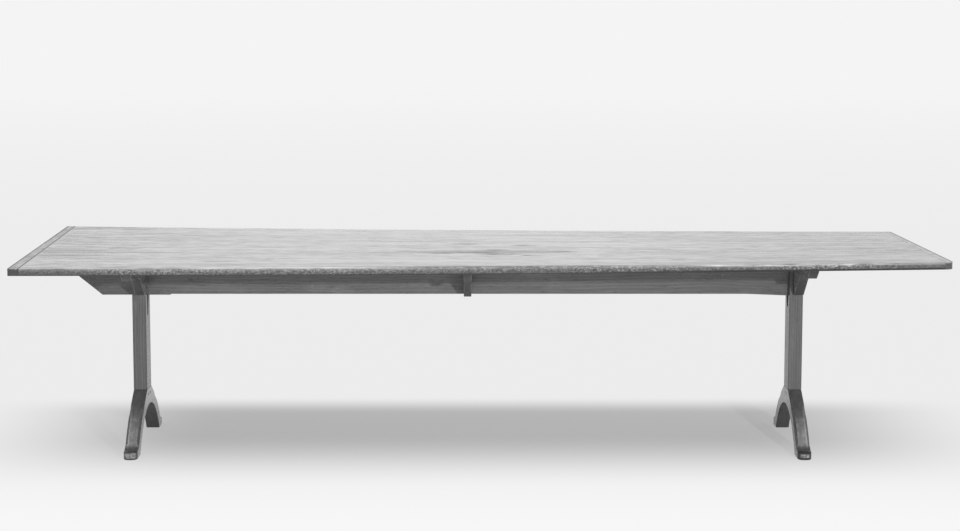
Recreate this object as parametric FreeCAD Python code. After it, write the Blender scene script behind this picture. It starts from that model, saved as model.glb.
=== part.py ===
import FreeCAD, Part
import math
import os
from FreeCAD import Vector

os.makedirs("parts", exist_ok=True)

# Long trestle dining table, all sizes in millimetres.
# X runs along the table, the long front edge faces -Y, and Z is up.
# The origin lies on the floor, under the middle of the table top.

# Sizes shared by the whole table
fit_gap = 0.3
overrun = 20.0

# Table top of long boards between two end battens.
# The old top is in winding: its front right and back left corners stand high.
# It is bowed too: both its ends stand above its middle.
# Each of its ends leans in a little towards the back, so the back edge is shorter than the front one.
top_length = 3130.0
top_width = 864.0
top_height = 700.0
top_thick = 24.0
end_taper = 7.0
corner_lift = 10.8
left_end_rise = 4.6
right_end_rise = 5.0
bow_stretches = 6
board_names = ("board_front", "board_middle", "board_back")
board_width_shares = (0.35, 0.30, 0.35)
left_batten_width = 38.0
right_batten_width = 30.0
end_tongue_long = 13.0
end_tongue_thick = 8.0
front_right_corner_radius = 26.0
back_right_corner_radius = 12.0
left_corner_radius = 7.0

# Loose tongues in the long joints between the boards
loose_tongue_thick = 6.0
loose_tongue_wide = 22.0
loose_tongue_stop = 70.0

# Blind pegs driven from below, through each end batten into a board's tongue
batten_peg_radius = 3.5
batten_peg_long = 17.0

# Trestles: how far in from each end of the top the middle of its post stands
left_overhang = 361.0
right_overhang = 447.0

# Posts, each with a slot for the rail that runs out below it
post_thick = 48.0
post_depth = 80.0
left_slot_below_rail = 76.0
right_slot_below_rail = 46.0
slot_front_lean = 6.0
slot_back_lean = 16.0
tenon_thick = 16.0
tenon_wide = 54.0
tenon_long = 44.0

# Arms across the posts, and the thinner cleat across the middle of the top.
# Seen from the end of the table: a blunt nose, a flat, a small step, a cove and a long slope.
# All but the level bottom follows the winding of the top, and the cleat's bottom is lower than the arms'.
arm_thick = 34.0
cleat_thick = 27.0
cleat_shift = 0.0
cleat_lower = 5.5
arm_half_long = 332.0
arm_depth = 138.0
arm_deep_half = 54.0
nose_face_deep = 7.5
nose_deep = 47.5
nose_round_long = 50.0
nose_round_bulge = 2.0
cove_start = 202.0
cove_step = 4.5
cove_radius = 120.0
cove_turn = 40.0

# Rail on edge under the top, from beyond the left post to the outer face of the right arm.
# Its left end slopes, from a point under the top down to a corner further in from the top's end.
rail_thick = 36.0
rail_depth = 140.0
rail_point_in = 52.0
rail_corner_in = 228.0
rail_left_extra = 3.0
rail_step_from_post = 109.0
rail_right_extra = 6.0
rail_swell_long = 150.0

# Arched feet
foot_shoulder_height = 195.0
foot_half_long = 258.0
foot_inner_half = 190.0
knee_out = 130.0
knee_height = 134.0
knee_end_out = 156.0
knee_end_height = 112.0
knee_bulge = 2.5
shin_end_out = 213.0
shin_end_height = 42.0
shin_bulge = 3.0
toe_top_height = 26.0
toe_top_out = 238.0
toe_top_sag = 3.0
toe_round = 16.0
toe_plan_radius = 17.0
arch_height = 136.0
arch_spring_out = 112.0
arch_spring_height = 94.0
arch_bulge_out = 70.0
arch_bulge_height = 120.0
arch_side_sag = 6.0

# Pegs through the feet and their tenons, and through the arms and the posts' cheeks
foot_peg_radius = 4.5
foot_peg_spread = 15.0
foot_peg_below_shoulder = 20.0
arm_peg_radius = 4.5
arm_peg_low = 26.0
arm_peg_high = 102.0

# Wood screws driven up from pockets in the arms and the cleat into the boards
screw_radius = 2.2
screw_head_radius = 4.4
screw_head_thick = 3.0
screw_long = 40.0
screw_point_long = 6.0
screw_bite = 12.0
screw_pocket_radius = 6.0
screw_outs = (262.0, 168.0)

half_length = top_length / 2
half_width = top_width / 2
station_step = half_length / bow_stretches
underside_drop = top_thick
underside_height = top_height - top_thick
left_shoulder = left_batten_width - half_length
right_shoulder = half_length - right_batten_width
left_post_x = left_overhang - half_length
right_post_x = half_length - right_overhang
arm_bottom = underside_height - arm_depth
rail_bottom = underside_height - rail_depth
lap_height = underside_height - arm_depth / 2


def station_rise(number):
    """How far the top's bow rises above its middle at one of its stations, numbered from the middle."""
    end_rise = right_end_rise if number > 0 else left_end_rise
    return end_rise * (number / bow_stretches) ** 2


def rise(x):
    """How far the bow rises at x: straight between the stations, and straight on beyond the last ones."""
    before = min(max(math.floor(x / station_step), -bow_stretches), bow_stretches - 1)
    share = x / station_step - before
    return (1 - share) * station_rise(before) + share * station_rise(before + 1)


def lift(x, y):
    """How far the bowed and wound top stands above the level of its middle at (x, y)."""
    return rise(x) + corner_lift * (x / half_length) * (-y / half_width)


def top_point(x, y, drop):
    """The point of the top at (x, y) that lies drop below its upper face."""
    return Vector(x, y, top_height - drop + lift(x, y))


def wound_block(x0, x1, y0, y1, drop_top, drop_bottom):
    """A block that follows the bow and the winding of the top, between two depths below its upper face."""
    stations = [number * station_step for number in range(1 - bow_stretches, bow_stretches)]
    sections = []
    for x in [x0] + [station for station in stations if x0 < station < x1] + [x1]:
        corners = [
            top_point(x, y0, drop_bottom),
            top_point(x, y1, drop_bottom),
            top_point(x, y1, drop_top),
            top_point(x, y0, drop_top),
        ]
        sections.append(Part.makePolygon(corners + corners[:1]))
    return Part.makeLoft(sections, True, True)


def box(x0, x1, y0, y1, z0, z1):
    """A plain box between two corners."""
    return Part.makeBox(x1 - x0, y1 - y0, z1 - z0, Vector(x0, y0, z0))


def below_top(x0, x1, y0, y1):
    """Everything under the top between the given sides, from below the floor to the wound underside."""
    return wound_block(x0, x1, y0, y1, underside_drop, top_height + overrun)


def face_of(edges):
    """A flat face inside a closed run of edges."""
    return Part.Face(Part.Wire(edges))


def line(a, b):
    return Part.makeLine(a, b)


def arc(a, middle, b):
    return Part.Arc(a, middle, b).toShape()


def bowed(side, a, b, bulge):
    """An arc down the outline of a piece on one side of the table, whose middle stands bulge out of the wood."""
    way = b.sub(a)
    outward = Vector(0, -side * way.z, side * way.y)
    outward.normalize()
    return arc(a, (a + b).multiply(1 / 2).add(outward.multiply(bulge)), b)


def save(name, solids):
    """Writes one node, made of one solid or of a group of like solids."""
    shape = solids[0] if len(solids) == 1 else Part.makeCompound(solids)
    for solid in solids:
        if not solid.isValid():
            print(name, "holds a solid that is not valid")
    print(f"{name}: {len(shape.Solids)} solid, {shape.Volume / 1e3:.1f} cm3")
    shape.exportStep(f"parts/{name}.step")


def board_edges():
    """The places across the table of the boards' long edges, from front to back."""
    edges = [-half_width]
    for share in board_width_shares:
        edges.append(edges[-1] + top_width * share / sum(board_width_shares))
    return edges


def way_between(start, end):
    """The direction from one point to another, as a vector of unit length."""
    way = end.sub(start)
    way.normalize()
    return way


def top_plan():
    """The outline of the whole top seen from above, with its rounded corners, as a tall block.

    Each end leans in towards the back by the end taper.
    """
    corners = (
        (Vector(-half_length, -half_width, 0), left_corner_radius),
        (Vector(half_length, -half_width, 0), front_right_corner_radius),
        (Vector(half_length - end_taper, half_width, 0), back_right_corner_radius),
        (Vector(end_taper - half_length, half_width, 0), left_corner_radius),
    )
    edges = []
    starts = []
    ends = []
    for number, (corner, radius) in enumerate(corners):
        back = way_between(corner, corners[number - 1][0])
        ahead = way_between(corner, corners[(number + 1) % len(corners)][0])
        half_turn = back.getAngle(ahead) / 2
        middle_way = way_between(Vector(), back.add(ahead))
        first = corner.add(Vector(back).multiply(radius / math.tan(half_turn)))
        last = corner.add(Vector(ahead).multiply(radius / math.tan(half_turn)))
        middle = corner.add(middle_way.multiply(radius / math.sin(half_turn) - radius))
        edges.append(arc(first, middle, last))
        starts.append(first)
        ends.append(last)
    for number, end in enumerate(ends):
        edges.append(line(end, starts[(number + 1) % len(starts)]))
    outline = Part.Face(Part.Wire(Part.sortEdges(edges)[0]))
    return outline.extrude(Vector(0, 0, top_height + top_thick + corner_lift))


def end_tongue_drops(gap):
    """The depths below the top's face between which an end tongue lies, widened by gap."""
    above = (top_thick - end_tongue_thick) / 2
    return above - gap, above + end_tongue_thick + gap


def loose_tongue_block(joint_y, gap):
    """One loose tongue in the long joint at joint_y, widened by gap into the groove that holds it."""
    above = (top_thick - loose_tongue_thick) / 2
    return wound_block(
        left_shoulder + loose_tongue_stop - gap,
        right_shoulder - loose_tongue_stop + gap,
        joint_y - loose_tongue_wide / 2 - gap,
        joint_y + loose_tongue_wide / 2 + gap,
        above - gap,
        above + loose_tongue_thick + gap,
    )


def batten_peg_places(shoulder, side):
    """Where the pegs of one end batten stand: one in the middle of each board's tongue."""
    edges = board_edges()
    x = shoulder + side * end_tongue_long / 2
    return [(x, (front + back) / 2) for front, back in zip(edges, edges[1:])]


def batten_peg(x, y, gap):
    """A peg that stands flush in the underside of an end batten, or its hole when gap is given."""
    foot = top_point(x, y, top_thick)
    below = overrun if gap else 0
    start = Vector(foot.x, foot.y, foot.z - below)
    return Part.makeCylinder(batten_peg_radius + gap, batten_peg_long + below + gap, start)


def screw(place, gap):
    """A screw that points up, with its tip in the board, or the hole for it when gap is given."""
    tip = top_point(place[0], place[1], underside_drop - screw_bite)
    head_z = tip.z - screw_long
    shank_long = screw_long - screw_point_long - screw_head_thick
    head = Part.makeCone(
        screw_head_radius + gap, screw_radius + gap, screw_head_thick, Vector(tip.x, tip.y, head_z)
    )
    shank = Part.makeCylinder(
        screw_radius + gap, shank_long, Vector(tip.x, tip.y, head_z + screw_head_thick)
    )
    point = Part.makeCone(
        screw_radius + gap,
        screw_radius / 4 + gap,
        screw_point_long + gap,
        Vector(tip.x, tip.y, tip.z - screw_point_long),
    )
    whole = head.fuse([shank, point]).removeSplitter()
    if not gap:
        return whole
    pocket = Part.makeCylinder(screw_pocket_radius, head_z, Vector(tip.x, tip.y, 0))
    return whole.fuse(pocket)


def screw_places(x):
    """Where the screws of the arm or cleat at x stand."""
    return [(x, side * out) for out in screw_outs for side in (-1, 1)]


def make_top(arm_xs):
    """The boards, their end battens, and the tongues and pegs that hold them together."""
    edges = board_edges()
    joints = edges[1:-1]
    tongue_high, tongue_low = end_tongue_drops(0)
    grooves = [loose_tongue_block(joint, fit_gap) for joint in joints]
    pegs = {
        "left": batten_peg_places(left_shoulder, -1),
        "right": batten_peg_places(right_shoulder, 1),
    }
    peg_holes = [batten_peg(x, y, fit_gap) for places in pegs.values() for x, y in places]
    screw_holes = [screw(place, fit_gap) for x in arm_xs for place in screw_places(x)]
    for name, front, back in zip(board_names, edges, edges[1:]):
        board = wound_block(left_shoulder, right_shoulder, front, back, 0, top_thick)
        left_tongue = wound_block(
            left_shoulder - end_tongue_long, left_shoulder, front, back, tongue_high, tongue_low
        )
        right_tongue = wound_block(
            right_shoulder, right_shoulder + end_tongue_long, front, back, tongue_high, tongue_low
        )
        board = board.fuse([left_tongue, right_tongue])
        save(name, [board.cut(grooves + peg_holes + screw_holes)])
    for joint, name in zip(joints, ("loose_tongue_front", "loose_tongue_back")):
        save(name, [loose_tongue_block(joint, 0)])

    groove_high, groove_low = end_tongue_drops(fit_gap)
    reach = end_tongue_long + fit_gap
    plan = top_plan()
    left = wound_block(-half_length, left_shoulder, -half_width, half_width, 0, top_thick)
    left_groove = wound_block(
        left_shoulder - reach, left_shoulder, -half_width, half_width, groove_high, groove_low
    )
    save("end_batten_left", [left.cut([left_groove] + peg_holes).common(plan)])
    right = wound_block(right_shoulder, half_length, -half_width, half_width, 0, top_thick)
    right_groove = wound_block(
        right_shoulder, right_shoulder + reach, -half_width, half_width, groove_high, groove_low
    )
    save("end_batten_right", [right.cut([right_groove] + peg_holes).common(plan)])
    for side, places in pegs.items():
        save(f"batten_pegs_{side}", [batten_peg(x, y, 0) for x, y in places])


def arm_outline(x, bottom):
    """The end view of an arm at the plane x down to its level bottom, closed above the underside."""
    high = underside_height + overrun
    nose_bottom = underside_height - nose_deep
    cove_top = nose_bottom - cove_step
    turn = math.radians(cove_turn)

    def at(out, height):
        return Vector(x, out, height + lift(x, out))

    def on_cove(angle):
        out = cove_start - cove_radius * math.sin(angle)
        return out, cove_top - cove_radius * (1 - math.cos(angle))

    edges = [line(at(-arm_half_long, high), at(arm_half_long, high))]
    edges.append(line(Vector(x, -arm_deep_half, bottom), Vector(x, arm_deep_half, bottom)))
    for side in (-1, 1):
        tip = at(side * arm_half_long, underside_height - nose_face_deep)
        nose_end = at(side * (arm_half_long - nose_round_long), nose_bottom)
        flat_end = at(side * cove_start, nose_bottom)
        cove_a = at(side * cove_start, cove_top)
        middle_out, middle_height = on_cove(turn / 2)
        end_out, end_height = on_cove(turn)
        cove_b = at(side * end_out, end_height)
        edges.append(line(at(side * arm_half_long, high), tip))
        edges.append(bowed(side, tip, nose_end, nose_round_bulge))
        edges.append(line(nose_end, flat_end))
        edges.append(line(flat_end, cove_a))
        edges.append(arc(cove_a, at(side * middle_out, middle_height), cove_b))
        edges.append(line(cove_b, Vector(x, side * arm_deep_half, bottom)))
    return Part.sortEdges(edges)[0]


def arm_blank(x0, x1, bottom):
    """An arm or cleat between the planes x0 and x1, cut off at the underside and notched over the rail."""
    blank = face_of(arm_outline(x0, bottom)).extrude(Vector(x1 - x0, 0, 0))
    blank = blank.common(
        below_top(x0 - overrun, x1 + overrun, -arm_half_long - overrun, arm_half_long + overrun)
    )
    half_rail = rail_thick / 2
    notch = box(x0 - overrun, x1 + overrun, -half_rail, half_rail, bottom - overrun, lap_height)
    screw_holes = [screw(place, fit_gap) for place in screw_places((x0 + x1) / 2)]
    return blank.cut([notch] + screw_holes)


def arm_span(post_x):
    """The two faces of the arm at a post: flush with the post's right face and set in from its left."""
    flush = post_x + post_thick / 2
    return flush - arm_thick, flush


def arm_peg_places():
    """Where the pegs through an arm stand in the post's two cheeks, across the table and in height."""
    cheek = (rail_thick / 2 + post_depth / 2) / 2
    return [
        (side * cheek, arm_bottom + above) for side in (-1, 1) for above in (arm_peg_low, arm_peg_high)
    ]


def arm_pegs(post_x, gap):
    """The pegs through one arm and the post's cheeks, or their holes when gap is given."""
    long_over = overrun if gap else 0
    return [
        Part.makeCylinder(
            arm_peg_radius + gap,
            post_thick + 2 * long_over,
            Vector(post_x - post_thick / 2 - long_over, y, z),
            Vector(1, 0, 0),
        )
        for y, z in arm_peg_places()
    ]


def make_arm(side, post_x):
    """One arm with its pegs and screws."""
    x0, x1 = arm_span(post_x)
    save(f"arm_{side}", [arm_blank(x0, x1, arm_bottom).cut(arm_pegs(post_x, fit_gap))])
    save(f"arm_pegs_{side}", arm_pegs(post_x, 0))
    save(f"screws_arm_{side}", [screw(place, 0) for place in screw_places((x0 + x1) / 2)])


def make_cleat(cleat_x):
    """The cleat across the middle of the top, with its screws."""
    x0, x1 = cleat_x - cleat_thick / 2, cleat_x + cleat_thick / 2
    save("cleat_middle", [arm_blank(x0, x1, arm_bottom - cleat_lower)])
    save("screws_cleat_middle", [screw(place, 0) for place in screw_places(cleat_x)])


def make_rail(cross_spans):
    """The long rail, with a sloping left end, lapped from above under the arms and the cleat."""
    high = underside_height + overrun
    slope_run = (rail_corner_in - rail_point_in) / rail_depth
    step_x = left_post_x + rail_step_from_post
    right_end = right_post_x + post_thick / 2
    swell_end = right_post_x - post_thick / 2
    low_left = rail_bottom - rail_left_extra
    low_right = rail_bottom - rail_right_extra
    corners = [
        (rail_point_in - half_length - slope_run * overrun, high),
        (rail_corner_in - half_length, low_left),
        (step_x, low_left),
        (step_x, rail_bottom),
        (swell_end - rail_swell_long, rail_bottom),
        (swell_end, low_right),
        (right_end, low_right),
        (right_end, high),
    ]
    points = [Vector(x, -rail_thick / 2, z) for x, z in corners]
    edges = Part.makePolygon(points + points[:1])
    rail = Part.Face(edges).extrude(Vector(0, rail_thick, 0))
    rail = rail.common(
        below_top(-half_length, right_end + overrun, -rail_thick / 2 - overrun, rail_thick / 2 + overrun)
    )
    laps = [
        box(x0, x1, -rail_thick / 2 - overrun, rail_thick / 2 + overrun, lap_height, high + overrun)
        for x0, x1 in cross_spans
    ]
    save("rail", [rail.cut(laps)])


def slot_cutter(x0, x1, slot_below):
    """The slot for the rail, seen along the table: straight sides, then a narrowing run below the rail."""
    half = rail_thick / 2
    high = underside_height + overrun
    low = rail_bottom - slot_below
    corners = [
        (-half, high),
        (-half, rail_bottom - rail_right_extra),
        (-half + slot_front_lean, low),
        (half - slot_back_lean, low),
        (half, rail_bottom - rail_right_extra),
        (half, high),
    ]
    points = [Vector(x0, y, z) for y, z in corners]
    return Part.Face(Part.makePolygon(points + points[:1])).extrude(Vector(x1 - x0, 0, 0))


def foot_pegs(post_x, gap):
    """The pegs through a foot and the post's tenon, or their holes when gap is given."""
    long_over = overrun if gap else 0
    height = foot_shoulder_height - foot_peg_below_shoulder
    return [
        Part.makeCylinder(
            foot_peg_radius + gap,
            post_thick + 2 * long_over,
            Vector(post_x - post_thick / 2 - long_over, side * foot_peg_spread, height),
            Vector(1, 0, 0),
        )
        for side in (-1, 1)
    ]


def tenon(post_x, gap):
    """The tenon under a post, or the mortise for it in the foot when gap is given."""
    return box(
        post_x - tenon_thick / 2 - gap,
        post_x + tenon_thick / 2 + gap,
        -tenon_wide / 2 - gap,
        tenon_wide / 2 + gap,
        foot_shoulder_height - tenon_long - gap,
        foot_shoulder_height + gap,
    )


def make_post(side, post_x, slot_below):
    """One post: a tenon below, a slot for the rail above, and a lap for the arm on its right face."""
    x0 = post_x - post_thick / 2
    x1 = post_x + post_thick / 2
    half = post_depth / 2
    stem = box(x0, x1, -half, half, foot_shoulder_height, underside_height + overrun)
    stem = stem.common(below_top(x0 - overrun, x1 + overrun, -half - overrun, half + overrun))
    arm_x0, arm_x1 = arm_span(post_x)
    arm_lap = box(
        arm_x0,
        arm_x1 + overrun,
        -half - overrun,
        half + overrun,
        arm_bottom,
        underside_height + overrun + corner_lift,
    )
    slot = slot_cutter(x0 - overrun, x1 + overrun, slot_below)
    post = stem.cut([arm_lap, slot]).fuse(tenon(post_x, 0))
    save(f"post_{side}", [post.cut(arm_pegs(post_x, fit_gap) + foot_pegs(post_x, fit_gap))])


def foot_outline(x):
    """The end view of an arched foot at the plane x."""

    def at(out, height):
        return Vector(x, out, height)

    half_post = post_depth / 2
    edges = [line(at(-half_post, foot_shoulder_height), at(half_post, foot_shoulder_height))]
    for side in (-1, 1):
        shoulder = at(side * half_post, foot_shoulder_height)
        knee = at(side * knee_out, knee_height)
        knee_end = at(side * knee_end_out, knee_end_height)
        shin_end = at(side * shin_end_out, shin_end_height)
        toe_top = at(side * toe_top_out, toe_top_height)
        toe_brow = at(side * (foot_half_long - toe_round), toe_top_height)
        toe_side = at(side * foot_half_long, toe_top_height - toe_round)
        toe_tip = at(side * foot_half_long, 0)
        heel = at(side * foot_inner_half, 0)
        spring = at(side * arch_spring_out, arch_spring_height)
        diagonal = toe_round * math.sin(math.radians(45))
        toe_middle = at(
            side * (foot_half_long - toe_round + diagonal), toe_top_height - toe_round + diagonal
        )
        crown_middle = at(side * arch_bulge_out, arch_bulge_height)
        edges.append(line(shoulder, knee))
        edges.append(bowed(side, knee, knee_end, knee_bulge))
        edges.append(bowed(side, knee_end, shin_end, shin_bulge))
        edges.append(bowed(side, shin_end, toe_top, -toe_top_sag))
        edges.append(line(toe_top, toe_brow))
        edges.append(arc(toe_brow, toe_middle, toe_side))
        edges.append(line(toe_side, toe_tip))
        edges.append(line(toe_tip, heel))
        edges.append(bowed(side, heel, spring, -arch_side_sag))
        edges.append(arc(spring, crown_middle, at(0, arch_height)))
    return Part.sortEdges(edges)[0]


def foot_plan(x0, x1):
    """The outline of a foot seen from above, with round corners at the toes, as a block."""
    radius = toe_plan_radius
    tip = foot_half_long
    edges = []
    for side in (-1, 1):
        inner_y = side * (tip - radius)
        diagonal = radius * math.sin(math.radians(45))
        for face_x, inward in ((x0, radius), (x1, -radius)):
            start = Vector(face_x, inner_y, 0)
            end = Vector(face_x + inward, side * tip, 0)
            middle_x = face_x + inward - math.copysign(diagonal, inward)
            edges.append(arc(start, Vector(middle_x, inner_y + side * diagonal, 0), end))
        edges.append(line(Vector(x0 + radius, side * tip, 0), Vector(x1 - radius, side * tip, 0)))
    for face_x in (x0, x1):
        edges.append(line(Vector(face_x, radius - tip, 0), Vector(face_x, tip - radius, 0)))
    plan = Part.Face(Part.Wire(Part.sortEdges(edges)[0]))
    return plan.extrude(Vector(0, 0, foot_shoulder_height))


def make_foot(side, post_x):
    """One arched foot, sawn from a single plank, with the mortise for its post and its two pegs."""
    x0 = post_x - post_thick / 2
    x1 = post_x + post_thick / 2
    foot = face_of(foot_outline(x0)).extrude(Vector(post_thick, 0, 0))
    foot = foot.common(foot_plan(x0, x1))
    save(f"foot_{side}", [foot.cut([tenon(post_x, fit_gap)] + foot_pegs(post_x, fit_gap))])
    save(f"foot_pegs_{side}", foot_pegs(post_x, 0))


cleat_x = (left_post_x + right_post_x) / 2 + cleat_shift
cleat_span = (cleat_x - cleat_thick / 2, cleat_x + cleat_thick / 2)
cross_spans = [arm_span(left_post_x), cleat_span, arm_span(right_post_x)]

make_top([sum(span) / 2 for span in cross_spans])
make_arm("left", left_post_x)
make_arm("right", right_post_x)
make_cleat(cleat_x)
make_rail(cross_spans)
make_post("left", left_post_x, left_slot_below_rail)
make_post("right", right_post_x, right_slot_below_rail)
make_foot("left", left_post_x)
make_foot("right", right_post_x)
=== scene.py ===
import math

import bmesh
import bpy
import numpy as np
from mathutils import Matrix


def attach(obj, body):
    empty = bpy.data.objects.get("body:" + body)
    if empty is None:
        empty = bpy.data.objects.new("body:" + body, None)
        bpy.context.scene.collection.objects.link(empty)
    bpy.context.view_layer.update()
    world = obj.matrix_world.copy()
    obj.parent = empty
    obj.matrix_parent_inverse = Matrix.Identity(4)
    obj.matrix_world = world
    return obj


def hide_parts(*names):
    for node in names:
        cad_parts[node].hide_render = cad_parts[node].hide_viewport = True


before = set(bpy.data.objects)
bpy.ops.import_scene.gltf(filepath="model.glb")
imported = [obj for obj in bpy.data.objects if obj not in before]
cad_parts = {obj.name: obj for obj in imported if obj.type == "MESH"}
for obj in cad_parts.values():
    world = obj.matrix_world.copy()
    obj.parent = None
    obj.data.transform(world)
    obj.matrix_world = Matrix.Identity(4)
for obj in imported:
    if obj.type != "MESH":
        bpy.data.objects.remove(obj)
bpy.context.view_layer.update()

# A long, narrow trestle dining table: a thin top of old boards on two posts with arched feet.
# Lengths are in metres. X runs along the table, the long front edge faces -Y, and Z is up.


# The room and the camera. A pale floor runs back without an edge into a white background.
# The light is a white sky, a wide soft lamp overhead, a low lamp in front and a soft one at the right.
class Socket:
    """One output of a material's nodes. Arithmetic on it adds the nodes that work out the result."""

    def __init__(self, tree, output=None):
        self.tree = tree
        self.output = output

    def node(self, kind, settings, sockets, output=0):
        """Adds a node, with its settings, and gives its sockets, by name or number, values or links."""
        added = self.tree.nodes.new("ShaderNode" + kind)
        for name, value in settings.items():
            setattr(added, name, value)
        for name, value in sockets.items():
            if isinstance(value, Socket):
                self.tree.links.new(value.output, added.inputs[name])
            else:
                added.inputs[name].default_value = value
        return Socket(self.tree, added.outputs[output] if len(added.outputs) else None)

    def maths(self, operation, second=0.0):
        """The result of an operation on this value, and on a second one where it takes two."""
        return self.node("Math", {"operation": operation}, {0: self, 1: second})

    def __add__(self, other):
        return self.maths("ADD", other)

    def __sub__(self, other):
        return self.maths("SUBTRACT", other)

    def __mul__(self, other):
        return self.maths("MULTIPLY", other)

    def __truediv__(self, other):
        return self.maths("DIVIDE", other)

    def __rsub__(self, other):
        return self.node("Math", {"operation": "SUBTRACT"}, {0: other, 1: self})

    def __rtruediv__(self, other):
        return self.node("Math", {"operation": "DIVIDE"}, {0: other, 1: self})

    __radd__ = __add__
    __rmul__ = __mul__

    def step(self, low, high):
        """Runs smoothly from 0 where the value is low to 1 where it is high; low may be the larger one."""
        return self.node(
            "MapRange",
            {"interpolation_type": "SMOOTHSTEP"},
            {"Value": self, "From Min": low, "From Max": high, "To Min": 0.0, "To Max": 1.0},
        )

    def blend(self, first, second):
        """The first colour where this value is 0, the second where it is 1."""
        return self.node("Mix", {"data_type": "RGBA"}, {0: self, 6: first, 7: second}, 2)


def new_material(name):
    """An empty material, and a socket to start its nodes from."""
    material = bpy.data.materials.new(name)
    material.use_nodes = True
    material.node_tree.nodes.clear()
    return material, Socket(material.node_tree)


def grey(level):
    """A neutral colour, from 0 for black to 1 for white."""
    return (level, level, level, 1.0)


def seen_straight(start):
    """1 for what the camera, a mirror or clear glass shows, 0 for the light that reaches matt surfaces."""
    to_camera = start.node("LightPath", {}, {}, "Is Camera Ray")
    rays = to_camera.output.node.outputs
    mirrored = Socket(start.tree, rays["Is Glossy Ray"])
    through = Socket(start.tree, rays["Is Transmission Ray"])
    return to_camera.maths("MAXIMUM", mirrored).maths("MAXIMUM", through)


def make_floor():
    """The floor: a wide flat square that takes the table's soft shadow, mostly painted, and fades into the
    background.

    Light and shadow fall on a space under and round the table only. The space is 1 in its middle and falls
    smoothly to 0 behind, before and beside it, as the product of one less each of the three.
    """
    material, start = new_material("pale_floor")
    place = start.node("TexCoord", {}, {}, "Object")
    along = start.node("SeparateXYZ", {}, {0: place}, "X")
    across = Socket(start.tree, along.output.node.outputs["Y"])
    matt = start.node("BsdfDiffuse", {}, {"Color": grey(0.86)})
    # The tone is paler in front of the table than at it, and far behind it becomes the background's
    near_tone = across.step(0.0, -1.05).blend(grey(0.840), grey(0.928))
    tone = across.step(1.0, 22.0).blend(near_tone, grey(background))
    behind = across.step(0.40, 0.68)
    before = across.step(0.08, -0.60)
    beside = along.maths("ABSOLUTE").step(0.95, 2.00)
    space = (1.0 - behind) * (1.0 - before) * (1.0 - beside)
    # Under the table most of the floor's tone is an even grey, a painted shadow, and only the rest is lit,
    # so that thin cast shadows stay faint
    even = 0.75
    backdrop_and_painted_shadow_tone = (space * even / (1.0 - space * (1.0 - even))).blend(tone, grey(0.44))
    plain = start.node("Emission", {}, {"Color": backdrop_and_painted_shadow_tone, "Strength": 1.0})
    plainness = (1.0 - space * (1.0 - even)) * seen_straight(start)
    surface = start.node("MixShader", {}, {0: plainness, 1: matt, 2: plain})
    start.node("OutputMaterial", {}, {"Surface": surface})
    reach = 60.0
    corners = [(-reach, -reach, 0), (reach, -reach, 0), (reach, reach, 0), (-reach, reach, 0)]
    mesh = bpy.data.meshes.new("floor")
    mesh.from_pydata(corners, [], [(0, 1, 2, 3)])
    mesh.materials.append(material)
    floor = bpy.data.objects.new("floor", mesh)
    bpy.context.collection.objects.link(floor)


def make_sky(strength, seen):
    """A plain white sky that lights with one strength and is itself seen and mirrored with another."""
    world = bpy.data.worlds.new("white_sky")
    world.use_nodes = True
    world.node_tree.nodes.clear()
    start = Socket(world.node_tree)
    level = seen_straight(start) * (seen - strength) + strength
    sky = start.node("Background", {}, {"Color": grey(1.0), "Strength": level})
    start.node("OutputWorld", {}, {"Surface": sky})
    bpy.context.scene.world = world


def make_lamp(name, kind, settings, place, turn):
    """One lamp, with its settings, at its place and turned. Glossy wood mirrors the sky, not the lamp."""
    lamp = bpy.data.lights.new(name, kind)
    for setting, value in settings.items():
        setattr(lamp, setting, value)
    holder = bpy.data.objects.new(name, lamp)
    holder.location = place
    holder.rotation_euler = turn
    holder.visible_glossy = False
    bpy.context.collection.objects.link(holder)


background = 0.905
make_floor()
make_sky(strength=0.66, seen=background)
make_lamp(
    "overhead_lamp",
    "AREA",
    {"shape": "RECTANGLE", "size": 5.0, "size_y": 4.0, "energy": 34.0},
    place=(0.0, -0.9, 4.2),
    turn=(0.0, 0.0, 0.0),
)
make_lamp(
    "low_front_lamp",
    "POINT",
    {"shadow_soft_size": 0.10, "energy": 880.0},
    place=(2.3, -5.6, 1.947),
    turn=(0.0, 0.0, 0.0),
)
make_lamp(
    "soft_right_lamp",
    "SUN",
    {"angle": math.radians(50), "energy": 0.35},
    place=(8.0, -2.0, 3.0),
    turn=(math.radians(90 - 22), 0.0, math.radians(72)),
)

camera_data = bpy.data.cameras.new("camera")
camera_data.sensor_width = 36.0
camera_data.lens = 66.487
camera_data.shift_x = 0.01117
camera_data.shift_y = -0.12
camera_data.clip_end = 200.0
camera = bpy.data.objects.new("camera", camera_data)
camera.location = (-0.03698, -6.22299, 1.64893)
camera.rotation_euler = (math.radians(90 - 5.537), 0.0, 0.0)
bpy.context.collection.objects.link(camera)
bpy.context.scene.camera = camera
bpy.context.scene.view_settings.view_transform = "Standard"


# The top's three long boards, planed and oiled hardwood, worn pale by use and cleaning.
# They are joined edge to edge, and their front arris is crisp at the ends but knocked and rounded between.
# Old age has left the top in winding and a little bowed, and all the boards follow that.
half_long = 1.565
half_wide = 0.432
top_high = 0.700
top_thick = 0.024
end_taper = 0.007
corner_lift = 0.0108
left_rise = 0.0046
right_rise = 0.0050
# The bow runs straight between 13 places along the top, and rises with the square of x
stations = np.linspace(-half_long, half_long, 13)
station_rises = np.where(stations < 0, left_rise, right_rise) * (stations / half_long) ** 2
left_shoulder = -1.527
right_shoulder = 1.535
joint_half = 0.1296


def top_face(x, y):
    """The height of the top's upper face: the middle's, plus the bow's rise, less the winding.

    The winding grows with x times y, up to the corners' lift.
    """
    winding = corner_lift * (x / half_long) * (y / half_wide)
    return top_high + np.interp(x, stations, station_rises) - winding


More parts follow.
